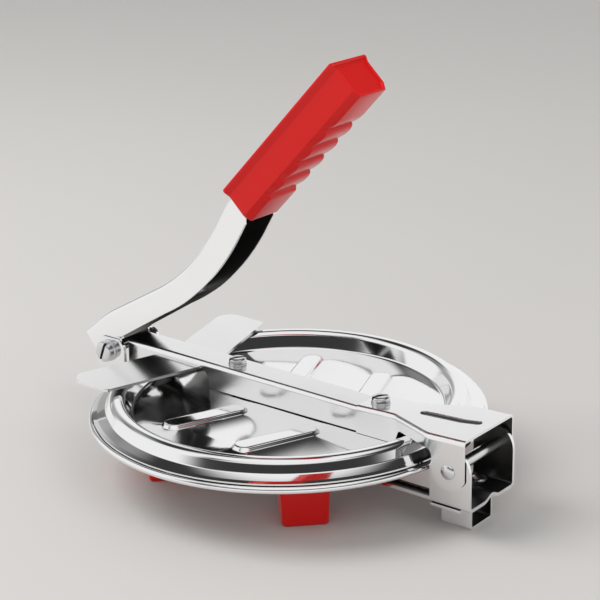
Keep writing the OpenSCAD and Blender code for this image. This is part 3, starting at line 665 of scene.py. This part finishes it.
def rib_loop(rib, half):
    """An outline at one distance round a bead's line."""
    cx, cy, way = rib
    points = arc(-rib_long, 0, half, 270, -7.5, 25) + arc(rib_long, 0, half, 90, -7.5, 25)
    return [(cx + a * math.cos(way) - o * math.sin(way), cy + a * math.sin(way) + o * math.cos(way))
            for a, o in points]


def floor_place(u, v):
    """The floor at a point, lifted where a bead is pressed up."""
    z = floor_top
    for cx, cy, way in ribs:
        along = (u - cx) * math.cos(way) + (v - cy) * math.sin(way)
        off = (v - cy) * math.cos(way) - (u - cx) * math.sin(way)
        inside = rib_half - math.hypot(max(0, abs(along) - rib_long), off)
        if inside > 0:
            z += rib_high * (0.5 - 0.5 * math.cos(math.pi * min(1, inside / rib_shoulder)))
    return (u, v, z), (u, v, z - dish_thick)


marks = [rib_loop(rib, rib_half - rib_shoulder * k / 10) for rib in ribs for k in range(11)]
marks += [rib_loop(rib, rib_half - rib_crown) for rib in ribs]
upper = Sheet()
upper.blank([arc(0, 0, floor_edge, 0, 360 / steps, steps)], floor_place, (), marks)
wall = rounded([(floor_edge, floor_top, 0), (67.5, floor_top, 1.4), (70.9, crest, 3.3), (76.3, crest, 3.3),
                (78.8, 31.2, 0.9), (82.4, 29.9, 1.5), (84.25, 29.55, 0)], step=6)
under = [wall[0] - Vector((0, dish_thick))]
for before, p, after in zip(wall, wall[1:], wall[2:]):
    run = (after - before).normalized()
    under.append(p + Vector((run.y, -run.x)) * (dish_thick if p.x < flange_start else flange_thick))
under.append(wall[-1] - Vector((0, flange_thick)))
upper.grid([[((top.x * c, top.x * s, top.y), (low.x * c, low.x * s, low.y))
             for c, s in arc(0, 0, 1, 0, 360 / steps, steps + 1)] for top, low in zip(wall, under)])
piece("upper_dish", upper.solid(0), spun_steel, "top", sharp=50, inner=spun_steel)


# ---- Press arm ----
# A channel folded down from sheet, screwed over the upper dish. Near the lever its flanges are
# slit and bent outwards into two swept wings, by which the user lifts the dish. The inner
# faces of the arm and its wings are painted near black, as painted shade.
arm_half, arm_top, arm_low, arm_bend, arm_thick = 7.6, 42.0, 31.1, 1.9, 1.2
arm_start, wing_start, wing_end, arm_end = -87.8, -69, -44, 59.5
wing_top, wing_reach, wing_bend, wing_sweep = 39.7, 53.0, 0.4, math.tan(math.radians(16.5))
least_sink, flange_sink, arm_slope, slope_start = 0.5, 1.4, 0.0125, -88
level_place, creases, length = fold(trough(arm_half, arm_low, arm_top, arm_bend, 11.25), arm_thick, -1)


def arm_sink(x, z=arm_top):
    """How far the arm lies below its level: it slopes down to the hinge over level flanges."""
    top = least_sink + arm_slope * (x - slope_start)
    low = least_sink + flange_sink * min(1, max(0, (x - wing_start) / (wing_end - wing_start)))
    return top + (low - top) * min(1, max(0, (arm_top - z) / (arm_top - arm_low)))


def sloping(place):
    """The same way of laying a blank, let down to the arm's slope."""
    def sloped(u, v):
        return tuple((x, y, z - arm_sink(x, z)) for x, y, z in place(u, v))
    return sloped


root_v = arm_top - arm_low - arm_bend + arm_bend * math.pi / 2
over_flange = [(arm_start, 0), (-82.75, 0), (-82.75, 0.95), (-79.25, 0.95), (-79.25, 2.2)]
over_crest = arc(-73.8, 2.2, 4.0, 180, -12, 11)
side = over_flange + over_crest + [(wing_start, 7.0), (wing_start, root_v), (wing_end, root_v)]
side += arc(wing_end, 2.8, 5.0, 90, -9, 11) + [(-39, 0), (arm_end, 0)]
arm = Sheet()
arm.blank([mirrored_outline(side, length)], sloping(level_place), creases)
wing_flat = wing_reach - arm_half - wing_bend
for s in (-1, 1):
    section = [Vector((s * p.x, p.y)) for p in rounded([
        (arm_half - arm_bend, arm_top, 0), (arm_half, arm_top, arm_bend), (arm_half, wing_top, wing_bend),
        (wing_reach, wing_top, 0)], step=11.25)]
    section = [p for i, p in enumerate(section) if i == 0 or (p - section[i - 1]).length > 1e-4]
    place, creases, length = fold(section, arm_thick, -s)
    shift = wing_flat * wing_sweep
    tip = rounded([(wing_end, length - wing_flat, 0), (wing_end - shift, length, 3.0),
                   (wing_start - shift, length, 7.0), (wing_start, length - wing_flat, 0)])
    arm.blank([[(wing_start, 0), (wing_end, 0)] + [tuple(p) for p in tip]], sloping(place), creases)
along_steel = steel("bar_steel", "along", 0.17)
piece("press_arm", arm.solid(), along_steel, "top", edge=0.15, inner=painted_shade_steel)


# ---- Hinge yoke ----
# A second sheet folded over the arm's end. It flares out past the dish and drops two rounded ears
# beside the hinge bracket, and a groove is pressed into its top.
yoke_top, yoke_bend, yoke_thick, groove_half, groove_deep = 43.0, 2.0, 1.0, 2.1, 0.7
yoke_start, yoke_end, lobe_r, neck_low, cut_top, cut_round, cut_end = 43, 102.3, 8, 28.95, 36.8, 2.5, 87
neck_end, cut_start, neck_half, yoke_half = 62.4, 65.6, 8.65, 18.2
neck_sink, yoke_slope, sink_end, sink_run = 2.2, 0.034, 30, 11
flare = rounded([(yoke_start, neck_half, 0), (62, neck_half, 7), (84.5, yoke_half, 9),
                 (yoke_end, yoke_half, 0)], step=4)
groove_path = [Vector((71.5, 0)), Vector((89, 0.6)), Vector((95.5, 2.2))]


def half_width(x):
    """Half the yoke's width at a distance along it."""
    for a, b in zip(flare, flare[1:]):
        if x <= b.x + 1e-9:
            return a.y + (b.y - a.y) * (x - a.x) / max(1e-9, b.x - a.x)
    return flare[-1].y


def groove_off(x, y):
    """The distance of a point from the groove's line."""
    best = 1e9
    for a, b in zip(groove_path, groove_path[1:]):
        share = max(0, min(1, (Vector((x, y)) - a).dot(b - a) / (b - a).length_squared))
        best = min(best, (a.lerp(b, share) - Vector((x, y))).length)
    return best


def groove_loop(off):
    """An outline at one distance round the groove's line."""
    left, right, caps = [], [], []
    for i, p in enumerate(groove_path):
        run = (groove_path[min(i + 1, 2)] - groove_path[max(i - 1, 0)]).normalized()
        left.append(p + Vector((-run.y, run.x)) * off)
        right.append(p + Vector((run.y, -run.x)) * off)
    for p, before in ((groove_path[-1], groove_path[-2]), (groove_path[0], groove_path[1])):
        way = math.degrees(math.atan2(p.y - before.y, p.x - before.x))
        caps.append([Vector(q) for q in arc(p.x, p.y, off, way - 75, 15, 11)])
    return right + caps[0] + left[::-1] + caps[1]


def on_blank(points):
    """Points of the yoke's top as its blank has them, with their share of the web's half width."""
    return [(p.x, p.y / (half_width(p.x) - yoke_bend)) for p in points]


def yoke_sink(x):
    """How far the yoke's top lies below its level: it rises again towards its free end."""
    return neck_sink - yoke_slope * (x - yoke_start)


def yoke_place(u, v):
    """v runs from the middle (0) over the web (1) and the bend (2), then down in millimetres."""
    s, a = (1, v) if v > 0 else (-1, -v)
    w = half_width(u)
    if a <= 1:
        y = a * (w - yoke_bend)
        dip = min(1, max(0, groove_off(u, s * y) / groove_half - 0.6) / 0.4)
        z = yoke_top - groove_deep * (0.5 + 0.5 * math.cos(math.pi * dip))
        pair = (u, s * y, z), (u, s * y, z - yoke_thick)
    elif a <= 2:
        angle = (a - 1) * math.pi / 2
        y, z = w - yoke_bend, yoke_top - yoke_bend
        pair = tuple((u, s * (y + r * math.sin(angle)), z + r * math.cos(angle))
                     for r in (yoke_bend, yoke_bend - yoke_thick))
    else:
        z = yoke_top - yoke_bend - (a - 2)
        pair = (u, s * w, z), (u, s * (w - yoke_thick), z)
    return tuple((x, y, z - yoke_sink(x) * min(1, max(0, (z - sink_end) / sink_run))) for x, y, z in pair)


def down(z):
    """Where a height on the yoke's side lies on its blank."""
    return 2 + yoke_top - yoke_bend - z


side = [(yoke_start, down(neck_low)), (neck_end, down(neck_low))]
cut = [(neck_end, down(neck_low), 0), (cut_start, down(cut_top), cut_round), (cut_end, down(cut_top), cut_round),
       (cut_end, down(hinge_z), 0)]
side += [tuple(p) for p in rounded(cut)][1:-1]
side += [(x, down(z)) for x, z in arc(hinge_x, hinge_z, lobe_r, 180, 9, 18) if x < yoke_end - 0.1]
side += [(yoke_end, down(hinge_z - math.sqrt(lobe_r ** 2 - (yoke_end - hinge_x) ** 2)))]
creases = [("v", s * k / 6) for s in (-1, 1) for k in range(6, 13)]
creases += [("u", yoke_start + k) for k in range(14, 56)] + [("v", 0.0)]
marks = [on_blank(groove_loop(groove_half * share)) for share in (1.0, 0.94, 0.87, 0.8, 0.73, 0.66, 0.6)]
yoke = Sheet()
# The groove's floor takes the painted-shade material, standing in for the shade in the groove.
yoke.blank([mirrored_outline(side, 0)], yoke_place, creases, marks + [on_blank(groove_path)],
           lambda u, v: abs(v) < 1 and groove_off(u, v * (half_width(u) - yoke_bend)) < 0.9 * groove_half)
piece("hinge_yoke", yoke.solid(0.05), along_steel, "top", edge=0.12, sharp=60,
      inner=painted_shade_steel)


# ---- Arm screws and pillars ----
# Threaded pillars are welded to the upper dish. A slotted cheese-head screw with a washer holds
# the arm on one of them, and the arm and the yoke together on the other.
def slotted(shape, width, top, reach, angle):
    """Cuts a screwdriver slot, as deep as it is wide, into the top of a turned shape."""
    box = bmesh.new()
    turned = Matrix.Translation((0, 0, top)) @ Matrix.Rotation(angle, 4, "Z")
    bmesh.ops.create_cube(box, size=1.0, matrix=turned @ Matrix.Diagonal((2 * reach, width, 2 * width, 1)))
    # The slot's faces take the painted-shade material, standing in for the shade inside the slot.
    for face in box.faces:
        face.material_index = 1
    both = []
    for title, form in (("head", shape), ("cutter", box)):
        mesh = meshed(title, form)
        for _ in range(2):
            mesh.materials.append(painted_shade_steel)
        both.append(bpy.data.objects.new(title, mesh))
        bpy.context.scene.collection.objects.link(both[-1])
    cut = both[0].modifiers.new("slot", "BOOLEAN")
    cut.object = both[1]
    plain(both[0])
    out = bmesh.new()
    out.from_mesh(both[0].data)
    for each in both:
        bpy.data.objects.remove(each)
    return out


screw_steel = turned_steel("screw_steel", 0.14, (0.74, 0.74, 0.75))
washer_r, washer_thick, head_r, head_h, slot_wide, pillar_r = 4.1, 0.7, 3.8, 2.3, 1.2, 3.6
for end, x in (("lever", -28.3), ("hinge", 49.5)):
    seat = arm_top - arm_sink(x) if end == "lever" else yoke_top - yoke_sink(x)
    low = seat + washer_thick
    ring = [(screw_r + play, seat), (washer_r - 0.1, seat), (washer_r, seat + 0.1), (washer_r, low - 0.1),
            (washer_r - 0.1, low), (screw_r + play, low)]
    piece("washer_" + end, lathe(ring, 64, (x, 0, 0)), screw_steel, "top", sharp=50)
    dome = [(head_r, low + 1.4), (3.72, low + 1.75), (3.5, low + 2.0), (3.1, low + 2.18), (2.5, low + 2.26),
            (0, low + head_h)]
    head = [(0, low - 10), (screw_r, low - 10), (screw_r, low), (3.7, low), (head_r, low + 0.15)] + dome
    screw = slotted(lathe(head, 64), slot_wide, low + head_h, 5, math.radians(60))
    bmesh.ops.translate(screw, vec=(x, 0, 0), verts=screw.verts)
    piece("screw_" + end, screw, screw_steel, "top", edge=0.12, sharp=40, inner=painted_shade_steel)
    web = arm_top - arm_thick - arm_sink(x)
    post = [(0, floor_top), (pillar_r, floor_top), (pillar_r, web - 0.2), (pillar_r - 0.2, web),
            (screw_r + play, web), (screw_r + play, 30.5), (0, 30.5)]
    piece("pillar_" + end, lathe(post, 48, (x, 0, 0)), fastener_steel, "top", sharp=50)


# ---- Hinge pin ----
# A plain turned steel pin, held in the bracket's two walls and domed over at both ends. The
# yoke's ears turn on it between its heads when the upper dish is opened.
sideways = Matrix.Rotation(math.radians(90), 4, "X")
pin_r, pin_half, pin_head, pin_rise = 2.5, 18.25, 3.2, 1.4
dome = arc(0, pin_half, pin_head, 0, 15, 6, pin_rise) + [(0, pin_half + pin_rise)]
pin = [(r, -z) for r, z in reversed(dome)] + [(pin_r, -pin_half), (pin_r, pin_half)] + dome
piece("hinge_pin", lathe(pin, 64, (hinge_x, 0, hinge_z), sideways), screw_steel, "base",
      sharp=50)


# ---- Lever ----
# The swan-neck lever is folded from one strip into a channel, open towards the arm, and bent by a
# former. It is deepest at its pivot and narrows into the tang that the grip is pushed onto.
def step_on(at, far, depth, count):
    """Carries the lever's line straight on from (x, z, way, depth) to another depth."""
    x, z, way, deep = at
    return [(x + far * k / count * math.cos(way), z + far * k / count * math.sin(way), way,
             deep + (depth - deep) * k / count) for k in range(1, count + 1)]


def bend_on(at, radius, degrees, depth, count):
    """Carries it on round a bend, upwards where the angle is positive."""
    x, z, way, deep = at
    total = math.radians(degrees)
    radius = math.copysign(radius, total)
    return [(x + radius * (math.sin(way + total * k / count) - math.sin(way)),
             z - radius * (math.cos(way + total * k / count) - math.cos(way)),
             way + total * k / count, deep + (depth - deep) * k / count) for k in range(1, count + 1)]


pivot_x, pivot_z, boss_r = -96.5, 36.0, 7.5
lever_half, lever_bend, lever_thick, tang_deep = 10.0, 2.4, 1.2, 8.6
spine = [(-113.2, 41.7, math.radians(39), 14.0)]
spine += step_on(spine[-1], 12, 14.0, 24)
spine += bend_on(spine[-1], 60, -10, 13.0, 16)
spine += step_on(spine[-1], 31, 11.8, 10)
spine += bend_on(spine[-1], 104, 30, 13.0, 40)
spine += step_on(spine[-1], 10, 13.0, 3)
spine += bend_on(spine[-1], 25, -13, 11.0, 12)
tang_x, tang_z, tang_way, _ = spine[-1]
spine += step_on(spine[-1], 3, tang_deep, 4)
spine += step_on(spine[-1], 68, tang_deep, 4)
strips = []
for x, z, way, deep in spine:
    fall = Vector((math.sin(way), -math.cos(way)))
    to_pivot = Vector((pivot_x - x, pivot_z - z))
    off = to_pivot.x * math.cos(way) + to_pivot.y * math.sin(way)
    if abs(off) < boss_r:
        deep = max(deep, to_pivot.dot(fall) + math.sqrt(boss_r ** 2 - off ** 2))
    strip = []
    for s in (-1, 1):
        outer = [(s * lever_half, p) for p in (deep, lever_bend + 0.6 * (deep - lever_bend))]
        inner = [(s * (lever_half - lever_thick), p) for _, p in outer]
        for ring, r in ((outer, lever_bend), (inner, lever_bend - lever_thick)):
            ring += [(s * y, p) for y, p in arc(lever_half - lever_bend, lever_bend, r, 0, -11.25, 9)]
        half = list(zip(outer, inner))
        strip += half if s < 0 else half[::-1]
    strips.append([((x + fall.x * p, y, z + fall.y * p), (x + fall.x * q, w, z + fall.y * q))
                   for (y, p), (w, q) in strip])
lever = Sheet()
lever.grid(strips)
piece("lever", lever.solid(0), steel("lever_steel", "along"), "lever", edge=0.15,
      sharp=50, inner=painted_shade_steel)


# ---- Press pin ----
# A short pin across the lever's channel, riveted flush in both flanges. It bears on the arm when
# the lever is pulled down, and pushes the upper dish onto the dough.
press_x, press_z = -54.5, 69
pin = [(0, -9.8), (1.3, -9.8), (1.3, -8.75), (2.0, -8.75), (2.0, 8.75), (1.3, 8.75), (1.3, 9.8), (0, 9.8)]
piece("press_pin", lathe(pin, 48, (press_x, 0, press_z), sideways), fastener_steel, "lever",
      sharp=50)


# ---- Grip ----
# A sleeve of glossy red plastic moulded for the tang, with chamfered edges, shallow side panels
# and a row of finger ribs on its underside.
grip_l, grip_half, grip_h, grip_chamfer, panel_deep = 83.4, 11.7, 17.6, 3.2, 1.3
notch_end, notch_pitch, notch_deep = 23.1, 10.6, 1.6
over_tang, behind_tang = 3.8, 0.6
notches = [grip_l - notch_end - notch_pitch * k for k in range(5)]


def finger_dip(u):
    """How deep the underside is cut at a distance from the mouth, as a share of a whole notch."""
    dip = 0.0
    for notch in notches:
        behind = notch - u
        if notch == notches[0] and -7 < behind < 0:
            dip = max(dip, (1 + behind / 7) ** 1.6)
        elif notch == notches[-1] and 0 <= behind < notch_pitch:
            dip = max(dip, 1 - behind / 1.6)
        elif 0 <= behind < notch_pitch:
            dip = max(dip, 1 - math.sin(math.pi * (behind / notch_pitch) ** 0.55) ** 0.8)
    return dip


def grip_ring(u, shrink):
    """The grip's outline at a distance from the mouth, drawn in by a shrinkage at its ends."""
    low = grip_h - notch_deep * finger_dip(u)
    panel = grip_half - panel_deep
    corners = [(0, 0, 0), (grip_half, 0, 0.5), (grip_half, 0.9, 0.3), (panel, 3.6, 0.5),
               (panel, grip_h - grip_chamfer, 0.6), (grip_half - grip_chamfer, low, 0.5), (0, low, 0)]
    half = rounded(corners, step=30)
    centre = grip_h / 2
    x = tang_x - behind_tang * math.cos(tang_way) - over_tang * math.sin(tang_way) + u * math.cos(tang_way)
    z = tang_z - behind_tang * math.sin(tang_way) + over_tang * math.cos(tang_way) + u * math.sin(tang_way)
    ring = []
    for y, p in [(p.x, p.y) for p in half] + [(-p.x, p.y) for p in half[-2:0:-1]]:
        y -= shrink * y / grip_half
        p += shrink * (centre - p) / centre
        ring.append((x + p * math.sin(tang_way), y, z - p * math.cos(tang_way)))
    return ring


stations = [(0.0, 1.0), (0.15, 0.5), (0.5, 0.15), (1.0, 0.0)]
u = 2.0
while u < grip_l - 1.2:
    stations.append((u, 0.0))
    u += 0.4 if notches[-1] - 3 < u < notches[0] + 8 else 2.0
stations += [(grip_l - 0.5, 0.0), (grip_l - 0.2, 0.06), (grip_l, 0.3), (grip_l, 0.9), (grip_l - 0.2, 1.2),
             (grip_l - 0.7, 1.4)]
grip = lofted([grip_ring(*station) for station in stations])
piece("lever_grip", grip, red_material, "lever", sharp=60)


# ---- Pivot ----
# A slotted screw through the fork and the lever, with a thick washer under its head and a
# hexagon nut behind. The lever swings on it.
washer_low, seat, pivot_head, nut_r = 11.95, 12.9, 4.7, 5.0
dome = [(pivot_head, 15.0), (4.6, 15.4), (4.3, 15.7), (3.8, 15.88), (3.0, 15.96), (0, 16.0)]
stem = [(0, -16.0), (pin_r, -16.0), (pin_r, seat), (pivot_head - 0.1, seat), (pivot_head, seat + 0.15)]
screw = slotted(lathe(stem + dome, 64), 1.3, 16.0, 6, math.radians(68))
ring = [(pin_r + play, washer_low), (4.95, washer_low), (5.1, washer_low + 0.15), (5.1, seat - 0.15),
        (4.95, seat), (pin_r + play, seat)]
nut = lofted([[(x, y, -z) for x, y in arc(0, 0, nut_r * share, 0, 60, 6)]
              for share, z in ((0.9, washer_low), (1.0, 12.35), (1.0, 15.5), (0.9, 15.95))])
for shape in (screw, nut):
    bmesh.ops.transform(shape, matrix=Matrix.Translation((pivot_x, 0, pivot_z)) @ sideways, verts=shape.verts)
piece("pivot_screw", screw, screw_steel, "pivot", edge=0.12, sharp=40, inner=painted_shade_steel)
piece("pivot_washer", lathe(ring, 64, (pivot_x, 0, pivot_z), sideways), screw_steel, "pivot",
      sharp=50)
piece("pivot_nut", nut, fastener_steel, "pivot", edge=0.2, sharp=20)
